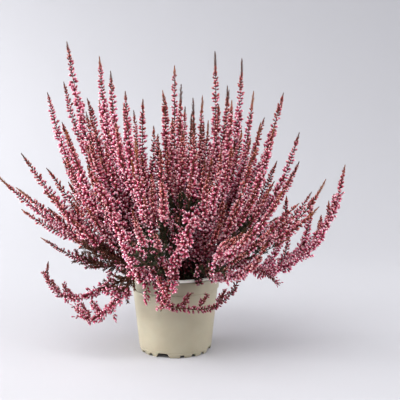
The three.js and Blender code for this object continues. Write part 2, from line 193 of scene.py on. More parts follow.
# Reach of the buds from a stem, by the distance from its tip and from its root.
RISING_REACH = ([(0, 0.6), (15, 1.9), (24, 4.4), (60, 5.7), (110, 6.8), (190, 7.4)],
                [(0, 1.3), (14, 1.3), (22, 3.0), (48, 4.6), (80, 7.4)])
TRAILING_REACH = ([(0, 0.6), (12, 1.9), (20, 4.2), (60, 5.2)],
                  [(0, 1.3), (20, 1.3), (34, 4.2), (60, 5.2)])
SIDE_REACH = ([(0, 0.6), (10, 1.7), (17, 4.2), (60, 5.4)], [(0, 2.4), (14, 3.0), (34, 5.4)])


# ---- lines ----------------------------------------------------------------------------------

def unit(vectors):
    """The same directions, one unit long."""
    vectors = np.asarray(vectors, float)
    return vectors / np.linalg.norm(vectors, axis=-1, keepdims=True)


def bezier(corners, steps):
    """Points of a Bezier curve through two, three or four control points."""
    share = np.linspace(0, 1, steps + 1)[:, None]
    level = [np.asarray(corner, float) for corner in corners]
    while len(level) > 1:
        level = [a * (1 - share) + b * share for a, b in zip(level, level[1:])]
    return level[0]


def spline(corners, steps):
    """Points of a smooth line through every one of its corners."""
    corners = np.asarray(corners, float)
    first = 2 * corners[0] - corners[1]
    last = 2 * corners[-1] - corners[-2]
    padded = np.vstack([first, corners, last])
    points = []
    for at in np.linspace(0, len(corners) - 1, steps + 1):
        k = min(int(at), len(corners) - 2)
        w = at - k
        before, start, end, after = padded[k:k + 4]
        leave, arrive = (end - before) / 2, (after - start) / 2
        points.append(
            start + leave * w
            + (3 * (end - start) - 2 * leave - arrive) * w ** 2
            + (2 * (start - end) + leave + arrive) * w ** 3
        )
    return np.array(points)


def lengths_along(line):
    """Distance of every point of a line from its root."""
    return np.concatenate([[0.0], np.cumsum(np.linalg.norm(np.diff(line, axis=0), axis=1))])


def places_along(line, distances):
    """Points on a line at given distances from its root, and the directions it has there."""
    lengths = lengths_along(line)

    def at(where):
        where = np.clip(where, 0, lengths[-1])
        return np.stack([np.interp(where, lengths, line[:, axis]) for axis in range(3)], axis=1)

    distances = np.asarray(distances, float)
    return at(distances), unit(at(distances + DIRECTION_SPAN) - at(distances - DIRECTION_SPAN))


def graded(at, stops):
    """The value at a place, between stops that each hold a place and its value."""
    return np.interp(at, *np.transpose(stops))


def sides(forward):
    """Two directions that are square to a direction and to each other."""
    side = unit(np.cross(forward, ASKEW))
    return side, np.cross(forward, side)


def rising_line(x, y, z, curl):
    """A spray that leaves the soil leaning further out than its tip, and curls up to the light."""
    out = math.hypot(x, y)
    azimuth = math.atan2(y, x)
    foot = SOIL_TOP + CROWN_RISE
    lean = math.degrees(math.atan2(out, z - foot))
    root = CROWN_RADIUS * min(1, lean / CROWN_FULL_LEAN) ** CROWN_SPREAD
    chord = math.degrees(math.atan2(out - root, z - foot))
    leaving = math.radians(min(STEEPEST_START, START_SHARE * chord + START_LEAN))
    arriving = math.radians(chord - curl)
    handle = math.hypot(out - root, z - foot) * HANDLE_SHARE

    def place(radius, height):
        return radius * math.cos(azimuth), radius * math.sin(azimuth), height

    return bezier([
        place(root, foot),
        place(root + handle * math.sin(leaving), foot + handle * math.cos(leaving)),
        place(out - handle * math.sin(arriving), z - handle * math.cos(arriving)),
        place(out, z),
    ], RISING_STEPS)


def side_line(main, turn, leaves=SIDE_LEAVES, widest=SIDE_WIDEST, ends=SIDE_ENDS,
              stands=SIDE_STANDS):
    """A side spike that leaves the main stem at a slant, then runs up beside it."""
    last = len(main) - 1
    root, beside, top = (main[round(last * share)] for share in (leaves, widest, ends))
    forward = unit(top - root)
    across = unit([forward[1], -forward[0], 0.0])
    away = across * math.cos(turn) + np.cross(forward, across) * math.sin(turn)
    return bezier([root, beside + away * stands * SIDE_BULGE, top + away * stands], SIDE_STEPS)


def shoot_line(main, share):
    """A short shoot that stands up from a trailing stem, leaning towards its tip."""
    at = round((len(main) - 1) * share)
    forward = main[at + 1] - main[at - 1]
    forward[2] = 0
    tip = main[at] + unit(forward) * SHOOT_LEAN + UP * SHOOT_HEIGHT
    return bezier([main[at], tip], SHOOT_STEPS)


def tooth_line(main, share, forward, height):
    """A side spike that leaves an arching stem along it and bends up to its tip."""
    at = round((len(main) - 1) * share)
    along = unit(main[at + 1] - main[at - 1])
    flat = unit(along * (1, 1, 0))
    root = main[at]
    top = root + flat * forward + UP * height
    return bezier([root, root + along * height * TOOTH_LEAVES, top - UP * height * TOOTH_ARRIVES,
                   top], SIDE_STEPS)


def swept(line, reach):
    """Balls that a spike fills, as points and radii, used to keep sprays out of each other."""
    total = lengths_along(line)[-1]
    distances = np.linspace(0, total, max(2, round(total / SWEEP_STEP)) + 1)
    filled = np.minimum(graded(total - distances, reach[0]), graded(distances, reach[1]))
    return places_along(line, distances)[0], filled


def clear_side_line(spray, index, sprays):
    """The first side spike round the main stem that is clear of the other sprays, and its turn."""
    others = [ball for other in sprays if other is not spray for ball in other["swept"]]
    points = np.vstack([ball[0] for ball in others])
    reach = np.concatenate([ball[1] for ball in others])
    for attempt in range(SIDE_TURNS):
        turn = index * SIDE_FIRST_TURN + attempt * 2 * math.pi / SIDE_TURNS
        line = side_line(spray["line"], turn)
        filled = swept(line, SIDE_REACH)
        apart = np.linalg.norm(filled[0][:, None] - points[None], axis=2)
        if np.all(apart > filled[1][:, None] + reach[None] + SIDE_GAP):
            return line, turn, filled
    return None, index * SIDE_FIRST_TURN, None


def lay_out():
    """Every spray's main stem, side spike and shoots, in the order of the nodes."""
    sprays = []
    for corners, shoots in TRAILING:
        line = spline(corners, TRAILING_STEPS)
        sprays.append({"line": line, "rises": False, "turn": 0.0, "side": None,
                       "shoots": [shoot_line(line, share) for share in shoots],
                       "swept": [swept(line, TRAILING_REACH)]})
    for tip in RISING:
        line = rising_line(*tip)
        sprays.append({"line": line, "rises": True, "turn": 0.0, "side": None, "shoots": [],
                       "swept": [swept(line, RISING_REACH)]})
    for index, spray in enumerate(sprays):
        if not spray["rises"]:
            continue
        spray["side"], spray["turn"], filled = clear_side_line(spray, index, sprays)
        if filled:
            spray["swept"].append(filled)
    return sprays


# ---- modelling ------------------------------------------------------------------------------

def deselect_all():
    bpy.ops.object.select_all(action="DESELECT")


def added(operator, **settings):
    """The object that a primitive operator adds, alone in the selection."""
    deselect_all()
    operator(**settings)
    return bpy.context.active_object


def edit(piece, elements="VERT"):
    """Opens a piece in edit mode with nothing selected."""
    bpy.context.view_layer.objects.active = piece
    bpy.ops.object.mode_set(mode="EDIT")
    bpy.ops.mesh.select_mode(type=elements)
    bpy.ops.mesh.select_all(action="DESELECT")


def close_edit():
    bpy.ops.object.mode_set(mode="OBJECT")


def fix_place():
    """Moves the place, turn and size of the selected objects into their meshes."""
    bpy.ops.object.transform_apply(location=True, rotation=True, scale=True)


def smooth(piece, sharp_angle=None):
    """Shades a piece smooth all over, or between edges that turn by more than an angle."""
    deselect_all()
    piece.select_set(True)
    if sharp_angle is None:
        bpy.ops.object.shade_smooth()
    else:
        bpy.ops.object.shade_smooth_by_angle(angle=math.radians(sharp_angle))


def select_where(piece, test):
    """Selects the vertices whose place passes a test, from edit mode and back to it."""
    close_edit()
    for vertex in piece.data.vertices:
        vertex.select = bool(test(vertex.co))
    bpy.ops.object.mode_set(mode="EDIT")


def scale_ring(factor):
    bpy.ops.transform.resize(value=(factor, factor, 1))


def turn_profile(name, profile, segments):
    """A closed shell turned about Z: a disc at the first point, drawn out ring by ring."""
    radius, z = profile[0]
    piece = added(
        bpy.ops.mesh.primitive_circle_add,
        vertices=segments, radius=radius * MM, fill_type="NGON", location=(0, 0, z * MM),
    )
    fix_place()
    piece.name = name
    edit(piece, "FACE")
    bpy.ops.mesh.select_all(action="SELECT")
    for new_radius, new_z in profile[1:]:
        bpy.ops.mesh.extrude_region_move(
            TRANSFORM_OT_translate={"value": (0, 0, (new_z - z) * MM)}
        )
        scale_ring(new_radius / radius)
        radius, z = new_radius, new_z
    bpy.ops.mesh.select_all(action="SELECT")
    bpy.ops.mesh.normals_make_consistent(inside=False)
    close_edit()
    return piece


def apply_modifier(piece, kind, **settings):
    """Adds a modifier with its settings and applies it."""
    modifier = piece.modifiers.new(kind.title(), kind)
    for name, value in settings.items():
        setattr(modifier, name, value)
    bpy.context.view_layer.objects.active = piece
    bpy.ops.object.modifier_apply(modifier=modifier.name)


def joined(pieces):
    """Several objects joined into the first."""
    deselect_all()
    for piece in pieces:
        piece.select_set(True)
    bpy.context.view_layer.objects.active = pieces[0]
    bpy.ops.object.join()
    return pieces[0]


def finish_piece(piece, node, material):
    """Gives a piece its material and its place in the frame."""
    piece.data.materials.clear()
    piece.data.materials.append(material)
    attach(piece, "root")
    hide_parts(node)


# ---- materials ------------------------------------------------------------------------------

def linear(colour):
    """An sRGB hex colour as linear red, green, blue and alpha."""
    shares = [int(colour[at:at + 2], 16) / 255 for at in (0, 2, 4)]
    return [s / 12.92 if s <= 0.04045 else ((s + 0.055) / 1.055) ** 2.4 for s in shares] + [1.0]


def add(material, kind, settings=None, links=None, stops=None):
    """Adds a node: settings are its properties or inputs, links feed its inputs, stops its ramp."""
    tree = material.node_tree
    node = tree.nodes.new("ShaderNode" + kind)
    for name, value in (settings or {}).items():
        if isinstance(name, int) or name in node.inputs:
            node.inputs[name].default_value = value
        else:
            setattr(node, name, value)
    for name, output in (links or {}).items():
        tree.links.new(output, node.inputs[name])
    for index, (position, colour) in enumerate(stops or ()):
        ramp = node.color_ramp.elements
        element = ramp[index] if index < 2 else ramp.new(position)
        element.position = position
        element.color = linear(colour) if isinstance(colour, str) else [colour] * 3 + [1.0]
    return node


# Settings of a node that mixes two colours, and of one that darkens the first by the second.
MIXED = {"data_type": "RGBA"}
DARKENED = {"data_type": "RGBA", "blend_type": "MULTIPLY"}


def new_material(name):
    material = bpy.data.materials.new(name)
    material.use_nodes = True
    material.node_tree.nodes.clear()
    return material


def close_material(material, shader):
    output = add(material, "OutputMaterial")
    material.node_tree.links.new(shader.outputs[0], output.inputs["Surface"])
    return material


def petal_material():
    """Closed sepals of heather: thin, dry and satin, maroon at the calyx and nearly white at the
    point, so each bud reads as a bright tip over a dark foot."""
    m = new_material("Closed_Sepals")
    place = add(m, "SeparateXYZ", links={0: add(m, "UVMap").outputs[0]})
    spot = add(m, "TexCoord").outputs["Object"]
    tone = add(m, "Attribute", {"attribute_name": "tone"})
    rosy = add(m, "ValToRGB", links={0: place.outputs["Y"]}, stops=[
        (0.0, "4a0812"), (0.9, "fff2f6"), (0.27, "8e1a3b"), (0.47, "da4c74"), (0.68, "ffa2be")])
    russet = add(m, "ValToRGB", links={0: place.outputs["Y"]}, stops=[
        (0.0, "380808"), (0.97, "f4c6bc"), (0.3, "6a1a1a"), (0.56, "963632"), (0.8, "cc7a70")])
    colour = add(m, "Mix", MIXED, {
        0: tone.outputs["Fac"], 6: rosy.outputs[0], 7: russet.outputs[0]})
    # Four sepals meet along seams that run up the bud.
    around = add(m, "Math", {"operation": "MULTIPLY", 1: 4.0}, {0: place.outputs["X"]})
    fold = add(m, "Math", {"operation": "PINGPONG", 1: 0.5}, {0: around.outputs[0]})
    seam = add(m, "ValToRGB", links={0: fold.outputs[0]}, stops=[(0.0, 0.62), (0.16, 1.0)])
    seamed = add(m, "Mix", {**DARKENED, 0: 0.6}, {6: colour.outputs[2], 7: seam.outputs[0]})
    # Every 3 mm or so, about a bud's width, the buds turn from ripe and deep to fresh and pale.
    ripe = add(m, "TexNoise", {"Scale": 330.0, "Detail": 1.0}, {"Vector": spot})
    depth = add(m, "ValToRGB", links={0: ripe.outputs[0]}, stops=[(0.42, 0.42), (0.52, 1.0)])
    varied = add(m, "Mix", {**DARKENED, 0: 0.8}, {6: seamed.outputs[2], 7: depth.outputs[0]})
    # Painted shade: buds deep in the bush are darkened by the shade attribute, which on sprays
    # past their best also holds their duller colour.
    shade = add(m, "Attribute", {"attribute_name": "shade"})
    shaded = add(m, "Mix", {**DARKENED, 7: linear("88545a")}, {
        0: shade.outputs["Fac"], 6: varied.outputs[2]})
    grain = add(m, "TexNoise", {"Scale": 1400.0, "Detail": 3.0}, {"Vector": spot})
    bump = add(m, "Bump", {"Strength": 0.25, "Distance": 0.0002}, {"Height": grain.outputs[0]})
    shader = add(m, "BsdfPrincipled", {
        "Roughness": 0.45, "Specular IOR Level": 0.2, "Subsurface Weight": 0.1,
        "Subsurface Scale": 0.0012,
    }, {"Base Color": shaded.outputs[2], "Normal": bump.outputs[0]})
    return close_material(m, shader)


def leaf_material():
    """Scale leaves, keeled and matt: dark green to olive low down, and fox brown at the growing
    tips, where cold nights have turned them."""
    m = new_material("Scale_Leaves")
    tone = add(m, "Attribute", {"attribute_name": "tone"})
    colour = add(m, "ValToRGB", links={0: tone.outputs["Fac"]}, stops=[
        (0.0, "222c1a"), (1.0, "b06a38"), (0.3, "403f26"), (0.5, "582d20"), (0.75, "884528")])
    blotch = add(m, "TexNoise", {"Scale": 320.0, "Detail": 2.0}, {
        "Vector": add(m, "TexCoord").outputs["Object"]})
    spots = add(m, "ValToRGB", links={0: blotch.outputs[0]}, stops=[(0.3, 0.6), (0.7, 1.0)])
    mixed = add(m, "Mix", {**DARKENED, 0: 0.8}, {6: colour.outputs[0], 7: spots.outputs[0]})
    # Painted shade: leaves deep in the bush are darkened by the shade attribute.
    shade = add(m, "Attribute", {"attribute_name": "shade"})
    shaded = add(m, "Mix", {**DARKENED, 7: linear("6c6a5c")}, {
        0: shade.outputs["Fac"], 6: mixed.outputs[2]})
    shader = add(m, "BsdfPrincipled", {"Roughness": 0.6, "Specular IOR Level": 0.25}, {
        "Base Color": shaded.outputs[2]})
    return close_material(m, shader)


def bark_material():
    """Thin woody stems: dull brown bark with fine lengthwise cracks."""
    m = new_material("Woody_Bark")
    spot = add(m, "TexCoord").outputs["Object"]
    stretch = add(m, "Mapping", {"Scale": (1.0, 1.0, 0.22)}, {0: spot})
    streak = add(m, "TexNoise", {"Scale": 900.0, "Detail": 4.0}, {"Vector": stretch.outputs[0]})
    colour = add(m, "ValToRGB", links={0: streak.outputs[0]}, stops=[
        (0.3, "2a1610"), (0.75, "7d4e36"), (0.5, "543021")])
    bump = add(m, "Bump", {"Strength": 0.5, "Distance": 0.0003}, {"Height": streak.outputs[0]})
    shader = add(m, "BsdfPrincipled", {"Roughness": 0.8, "Specular IOR Level": 0.25}, {
        "Base Color": colour.outputs[0], "Normal": bump.outputs[0]})
    return close_material(m, shader)


def pot_material():
    """Moulded polypropylene in a warm taupe grey: satin, with the slightly uneven gloss and the
    faint upright draw marks that a thin wall keeps from its mould. A near-white painted highlight
    runs along its lip."""
    m = new_material("Moulded_Polypropylene")
    spot = add(m, "TexCoord").outputs["Object"]
    cloud = add(m, "TexNoise", {"Scale": 38.0, "Detail": 3.0}, {"Vector": spot})
    wall = add(m, "ValToRGB", links={0: cloud.outputs[0]}, stops=[(0.3, "98907b"), (0.7, "a19984")])
    # Painted highlight: the lip is painted near white, where the light from above catches it.
    height = add(m, "SeparateXYZ", links={0: spot})
    lip = add(m, "MapRange", {"From Min": (POT_HEIGHT - LIP_HEIGHT) * MM,
                              "From Max": (POT_HEIGHT - LIP_HEIGHT + 0.8) * MM}, {
        0: height.outputs["Z"]})
    colour = add(m, "Mix", {**MIXED, 7: linear("fbf8f1")}, {
        0: lip.outputs[0], 6: wall.outputs[0]})
    # Grain of the mould's sand-blasted face, about 0.5 mm, and draw marks about 2 mm apart.
    grain = add(m, "TexNoise", {"Scale": 2000.0, "Detail": 2.0}, {"Vector": spot})
    drawn = add(m, "Mapping", {"Scale": (1.0, 1.0, 0.03)}, {0: spot})
    marks = add(m, "TexNoise", {"Scale": 480.0, "Detail": 1.0}, {"Vector": drawn.outputs[0]})
    fine = add(m, "Bump", {"Strength": 0.18, "Distance": 0.0001}, {"Height": grain.outputs[0]})
    bump = add(m, "Bump", {"Strength": 0.12, "Distance": 0.0002}, {
        "Height": marks.outputs[0], "Normal": fine.outputs[0]})
    gloss = add(m, "MapRange", {"To Min": 0.42, "To Max": 0.56}, {0: cloud.outputs[0]})
    shader = add(m, "BsdfPrincipled", {
        "IOR": 1.49, "Subsurface Weight": 0.05, "Subsurface Scale": 0.002,
    }, {"Base Color": colour.outputs[2], "Roughness": gloss.outputs[0], "Normal": bump.outputs[0]})
    return close_material(m, shader)


def peat_material():
    """Peat compost: dark, dull and fibrous, with paler shreds of moss and bark."""
    m = new_material("Peat_Compost")
    spot = add(m, "TexCoord").outputs["Object"]
    clod = add(m, "TexNoise", {"Scale": 260.0, "Detail": 6.0, "Roughness": 0.7}, {"Vector": spot})
    colour = add(m, "ValToRGB", links={0: clod.outputs[0]}, stops=[
        (0.35, "120c08"), (0.75, "6b4b34"), (0.5, "2a1d15"), (0.62, "3f2c20")])
    bump = add(m, "Bump", {"Strength": 0.9, "Distance": 0.0012}, {"Height": clod.outputs[0]})
    shader = add(m, "BsdfPrincipled", {"Roughness": 0.95, "IOR": 1.35}, {
        "Base Color": colour.outputs[0], "Normal": bump.outputs[0]})
    return close_material(m, shader)


def paper_material():
    """The plain pale ground: matt paper."""
    m = new_material("Pale_Paper")
    shader = add(m, "BsdfPrincipled", {
        "Base Color": linear("bbbbbf"), "Roughness": 0.9, "IOR": 1.3})
    return close_material(m, shader)


# ---- pot ------------------------------------------------------------------------------------

def wall_radius(z):
    """Outer radius of the tapered wall at a height."""
    share = (z - FOOT_LINE) / (LEDGE_Z - FOOT_LINE)
    return FOOT_LINE_RADIUS + (COLLAR_RADIUS - LEDGE - FOOT_LINE_RADIUS) * share


def pot_profile():
    """Radius and height from the middle of the floor's underside, round the lip, to its top."""
    inner_foot = FOOT_RADIUS - FOOT_WIDTH
    lip_foot = POT_HEIGHT - LIP_HEIGHT
    mouth = COLLAR_RADIUS - WALL
    below_ledge = wall_radius(LEDGE_Z)
    return [
        (0.5, FLOOR_TOP - WALL),
        (inner_foot - 0.6, FLOOR_TOP - WALL),
        (inner_foot, FLOOR_TOP - WALL - 0.6),
        (inner_foot, 0.3),
        (inner_foot + 0.3, 0),
        (FOOT_RADIUS - 0.4, 0),
        (FOOT_RADIUS, 0.4),
        (FOOT_LINE_RADIUS - 0.2, FOOT_LINE - 1),
        (FOOT_LINE_RADIUS - FOOT_LINE_STEP, FOOT_LINE - 0.8),
        (FOOT_LINE_RADIUS - FOOT_LINE_STEP, FOOT_LINE),
        (FOOT_LINE_RADIUS, FOOT_LINE + 0.1),
        *((wall_radius(z), z) for z in np.linspace(FOOT_LINE + 1, LEDGE_Z - 1.3, 9)),
        (below_ledge - GROOVE, LEDGE_Z - 0.9),
        (below_ledge - GROOVE, LEDGE_Z),
        (COLLAR_RADIUS - 0.3, LEDGE_Z),
        (COLLAR_RADIUS, LEDGE_Z + 0.35),
        (COLLAR_RADIUS, LEDGE_Z + 6),
        (COLLAR_RADIUS - 0.1, lip_foot - 1),
        (COLLAR_RADIUS - GROOVE, lip_foot - 0.7),
        (COLLAR_RADIUS - GROOVE, lip_foot),
        (RIM_RADIUS - 0.5, lip_foot),
        (RIM_RADIUS - 0.1, lip_foot + 0.15),
        (RIM_RADIUS, lip_foot + 0.5),
        (RIM_RADIUS - 0.3, lip_foot + 1.2),
        (RIM_RADIUS - 0.8, lip_foot + 2.0),
        (RIM_RADIUS - 1.5, lip_foot + 2.8),
        (RIM_RADIUS - 2.1, POT_HEIGHT - 0.1),
        (RIM_RADIUS - 2.3, POT_HEIGHT),
        (mouth - 0.1, POT_HEIGHT),
        (mouth - 0.4, POT_HEIGHT - 0.4),
        (mouth - 0.4, LEDGE_Z + 1),
        (below_ledge - WALL, LEDGE_Z - 2),
        *((wall_radius(z) - WALL, z) for z in np.linspace(LEDGE_Z - 10, FLOOR_TOP + 2, 4)),
        (wall_radius(FLOOR_TOP) - WALL - 0.8, FLOOR_TOP + 0.4),
        (wall_radius(FLOOR_TOP) - WALL - 2, FLOOR_TOP),
        (0.5, FLOOR_TOP),
    ]


def notch_cutter(azimuth, size):
    """A wedge through the foot ring whose sides lean in towards the top."""
    below, above, height = (side * MM for side in size)
    angle = math.radians(azimuth)
    reach = FOOT_RADIUS * MM
    cutter = added(
        bpy.ops.mesh.primitive_cube_add,
        size=1, rotation=(0, 0, angle),
        location=(reach * math.sin(angle), -reach * math.cos(angle),
                  height / 2 - NOTCH_BELOW / 2 * MM),
        scale=(below, NOTCH_DEPTH * MM, height + NOTCH_BELOW * MM),
    )
    edit(cutter)
    select_where(cutter, lambda co: co.z > 0)
    bpy.ops.transform.resize(value=(above / below, 1, 1), orient_type="LOCAL")
    close_edit()
    fix_place()
    return cutter


def drain_cutter(angle):
    circle = DRAIN_CIRCLE * MM
    return added(
        bpy.ops.mesh.primitive_cylinder_add,
        vertices=DRAIN_SEGMENTS, radius=DRAIN_RADIUS * MM, depth=DRAIN_DEPTH * MM,
        location=(circle * math.cos(angle), circle * math.sin(angle), FLOOR_TOP * MM),
    )


def make_pot():
    pot = turn_profile("nursery_pot", pot_profile(), POT_SEGMENTS)
    cutters = []
    for quarter in range(4):
        start = FIRST_NOTCH + quarter * 90
        cutters.append(notch_cutter(start, LARGE_NOTCH))
        cutters.extend(notch_cutter(start + offset, SMALL_NOTCH) for offset in SMALL_NOTCH_OFFSETS)
    cutters.extend(drain_cutter(hole * 2 * math.pi / DRAIN_HOLES) for hole in range(DRAIN_HOLES))
    cutter = joined(cutters)
    fix_place()
    apply_modifier(pot, "BOOLEAN", object=cutter, operation="DIFFERENCE", solver="EXACT")
    bpy.data.objects.remove(cutter)
    apply_modifier(pot, "BEVEL", width=EDGE_ROUND * MM, segments=2, limit_method="ANGLE",
                   angle_limit=math.radians(EDGE_ANGLE))
    smooth(pot, SHARP_ANGLE)
    finish_piece(pot, "pot", pot_material())


# ---- peat -----------------------------------------------------------------------------------

def roughen(piece, size, depth):
    """Pushes the upper face of a piece up and down by a cloud pattern of one size."""
    clouds = bpy.data.textures.new("peat_clods", "CLOUDS")
    clouds.noise_scale = size * MM
    clouds.noise_depth = 3
    group = piece.vertex_groups.get("top") or piece.vertex_groups.new(name="top")
    top = [v.index for v in piece.data.vertices if v.co.z > (SOIL_TOP - SURFACE_DEPTH) * MM]
    group.add(top, 1.0, "REPLACE")
    apply_modifier(piece, "DISPLACE", texture=clouds, texture_coords="LOCAL", direction="Z",
                   strength=depth * MM, mid_level=0.5, vertex_group="top")


def make_crumb_field(radius):
    """Crumbs of peat: one small knobbly lump, copied all over the surface."""
    lump = added(bpy.ops.mesh.primitive_ico_sphere_add, subdivisions=1, radius=1.0)
    template = np.array([v.co for v in lump.data.vertices])
    faces = np.array([p.vertices for p in lump.data.polygons])
    rng = random.Random(CRUMB_SEED)
    coords, indices = [], []
    for crumb in range(CRUMBS):
        away = radius * math.sqrt(rng.random())
        angle = rng.uniform(0, 2 * math.pi)
        size = rng.uniform(*CRUMB_SIZE) ** CRUMB_POWER
        shape = [rng.uniform(*side) for side in (CRUMB_WIDTH, CRUMB_WIDTH, CRUMB_HEIGHT)]
        knobs = 1 + CRUMB_KNOBS * np.array([rng.uniform(-1, 1) for _ in template])[:, None]
        centre = (away * math.cos(angle), away * math.sin(angle),
                  SOIL_TOP + rng.uniform(*CRUMB_LIES))
        coords.append((template * knobs * shape * size + centre) * MM)
        indices.append(faces + crumb * len(template))
    mesh = bpy.data.meshes.new("crumbs")
    mesh.from_pydata(np.vstack(coords).tolist(), [], np.vstack(indices).tolist())
    lump.data = mesh
    return lump


def make_peat():
    shoulder = LEDGE_Z - 2
    radius = wall_radius(shoulder) - WALL - SOIL_GAP
    foot = FLOOR_TOP + SOIL_GAP
    rings = [(radius * share, SOIL_TOP) for share in np.linspace(0.985, 0.02, SOIL_RINGS)]
    peat = turn_profile("peat_root_ball", [
        (1, foot),
        (wall_radius(foot) - WALL - SOIL_GAP, foot),
        (radius, shoulder),
        (radius, SOIL_TOP - 1),
        *rings,
    ], SOIL_SEGMENTS)
    for size, depth in CLODS:
        roughen(peat, size, depth)
    peat = joined([peat, make_crumb_field(radius - CRUMB_MARGIN)])
    smooth(peat, SOIL_SHARP_ANGLE)
    finish_piece(peat, "soil", peat_material())


# ---- buds and leaves ------------------------------------------------------------------------

# The templates are one unit long and one wide, and stand on the origin.

def bud_template():
    """One closed bud: a slim calyx, then four sepals that are widest near their points."""
    bud = added(bpy.ops.mesh.primitive_uv_sphere_add, segments=4, ring_count=3, radius=0.5)
    edit(bud)
    select_where(bud, lambda co: -0.4 < co.z < 0)
    bpy.ops.transform.resize(value=(0.85, 0.85, 1))
    bpy.ops.transform.translate(value=(0, 0, 0.1))
    select_where(bud, lambda co: 0 < co.z < 0.4)
    bpy.ops.transform.resize(value=(1.15, 1.15, 1))
    return taken_apart(bud)


def leaf_template():
    """One scale leaf: three-sided, keeled and pointed."""
    leaf = added(bpy.ops.mesh.primitive_cone_add, vertices=3, radius1=0.55, radius2=0, depth=1)
    edit(leaf)
    select_where(leaf, lambda co: co.z < 0)
    bpy.ops.transform.resize(value=(1, 0.6, 1))
    return taken_apart(leaf)


def twig_template():
    """One short twig, tapered to its end."""
    twig = added(bpy.ops.mesh.primitive_cone_add, vertices=3, radius1=0.5, radius2=0, depth=1)
    edit(twig)
    return taken_apart(twig)


def taken_apart(piece):
    """The corners, triangles and map of a piece that is open in edit mode, once it is moved up to
    stand on the origin; the piece is then removed."""
    bpy.ops.mesh.select_all(action="SELECT")
    bpy.ops.transform.translate(value=(0, 0, 0.5))
    bpy.ops.mesh.quads_convert_to_tris()
    close_edit()
    mesh = piece.data
    layer = mesh.uv_layers[0].data
    template = {
        "corners": np.array([vertex.co for vertex in mesh.vertices]),
        "faces": np.array([face.vertices for face in mesh.polygons]),
        "map": np.array([layer[loop.index].uv for loop in mesh.loops]),
    }
    bpy.data.objects.remove(piece)
    return template


def copies(template, growths):
    """Corners, triangles, map, tones and shade of one copy of a template for each growth."""
    table = np.array(growths)
    origin, axis = table[:, 0:3], unit(table[:, 3:6])
    length, width, roll, tone, shade = table[:, 6:11].T
    side, other = sides(axis)
    cos, sin = np.cos(roll)[:, None], np.sin(roll)[:, None]
    side, other = side * cos + other * sin, other * cos - side * sin
    shape = template["corners"]
    corners = (
        origin[:, None]
        + shape[None, :, 0:1] * (side * width[:, None])[:, None]
        + shape[None, :, 1:2] * (other * width[:, None])[:, None]
        + shape[None, :, 2:3] * (axis * length[:, None])[:, None]
    )
    offsets = np.arange(len(table))[:, None, None] * len(shape)
    return {
        "corners": corners.reshape(-1, 3) * MM,
        "faces": (template["faces"][None] + offsets).reshape(-1, 3),
        "map": np.tile(template["map"], (len(table), 1)),
        "tone": np.repeat(tone, len(shape)),
        "shade": np.repeat(shade, len(shape)),
    }


BUD = bud_template()
LEAF = leaf_template()
TWIG = twig_template()
BARK_SLOT, PETAL_SLOT, LEAF_SLOT = range(3)


# ---- growth along a spike -------------------------------------------------------------------

# How the whorls of buds change down a spike, by the distance from its tip: the gap between whorls,
# the size and lean of a bud, how many pairs stand in a whorl, how russet the buds are, and how far
# up and down the stem those of one whorl are spread.
BARE_TIP = 8
WHORL_GAP = [(8, 1.8), (16, 2.8), (36, 3.7), (160, 3.9)]
BUD_SIZE = [(8, 0.55), (18, 0.82), (34, 0.98), (70, 1.05), (120, 1.1)]
BUD_LEAN = [(8, 24), (20, 44), (40, 60), (90, 64)]
PAIRS_IN_WHORL = [(8, 1), (14, 1.2), (26, 1.8), (60, 2)]
RUSSET = [(8, 0.9), (24, 0.55), (50, 0.2), (90, 0.0)]
WHORL_SPREAD = [(20, 0.2), (80, 1.0)]
# The second pair of a whorl is this much further round the stem than the first, in radians.
PAIRS_APART = 0.7
BUD_LENGTH = 6.0
BUD_WIDTH = 2.7
# Share of the buds that have a leaf under them, and how brown those leaves are.
BUDS_WITH_LEAF = 0.35
BUD_LEAF_TONE = (0.45, 0.75)
# Whorls stand closer together on the trailing sprays.
TRAILING_CLOSER = 0.8
# How russet the buds of a spray are, least and most, and how brown its growing points: one cast in
# five is fox brown.
SPRAY_RUSSET = (0.0, 0.3)
TIP_TONES = (0.5, 0.5, 0.55, 0.65, 0.9)
# Lengths of the scaly growing points; those of some sprays are still leafy far down.
TIP_LENGTHS = (7, 8, 9, 10, 20)
# Short side shoots that thicken a spike lower down: length, and how many stand at a whorl, by
# distance from the tip; their slant, the gap between their own whorls and the buds in each, on
# average.
SHOOT_LENGTH = [(45, 0), (60, 5), (110, 9), (220, 13)]
SHOOTS_AT_WHORL = [(50, 0.5), (90, 0.8), (200, 0.85)]
SHORTEST_SHOOT = 3
SHOOT_SLANT = 46
SHOOT_GAP = 4.2
SHOOT_BUDS = 2.6
LEAF_LENGTH = 3.0
LEAF_WIDTH = 1.5
TIP_LEAF_GAP = 1.5
# Leafy twigs low on a stem: the distance between them, and their length, least and most. Under the
# flowers of a spike 0.9 of them stand at each place on average, at the first slant; those on the
# leafy foot of a stem have the second slant.
TWIG_GAP = 4.5
TWIG_LENGTH = (8, 17)
TWIGS_AT_PLACE = 0.9
TWIG_SLANT = 46
FOOT_TWIG_SLANT = 52
# Radius of a stem at the peat and at a tip, and thickness of twigs and shoots at their foot.
STEM_RADIUS = 1.2
TIP_RADIUS = 0.4
TWIG_THICKNESS = 0.9
SHOOT_THICKNESS = 0.8
# Under the flowers the bush is in its own shade and stays leafy: height over the peat, least and
# most, at which a rising spray begins to flower.
FLOWERS_FROM = (30, 52)
# Sprays that are bare of flowers further up, most of them in the heart and at the front, and by how
# much. Those with less than nothing, at the front right, flower from further down, and more of
# their twigs end in buds.
LATE_SPRAYS = {
    14: 32, 17: 26, 23: 24, 24: 40, 25: 66, 27: 20, 29: 18, 32: 26, 33: 36, 34: 36, 35: 30, 36: 38,
    39: 28, 40: 46, 41: 56, 42: -10, 43: -12, 46: -2, 47: -4,
}
# How brown the foliage under the flowers is, by how far to the right the tip of a spray is.
FOOT_TONE = [(-120, 0.5), (-30, 0.2), (40, 0.2), (120, 0.3)]
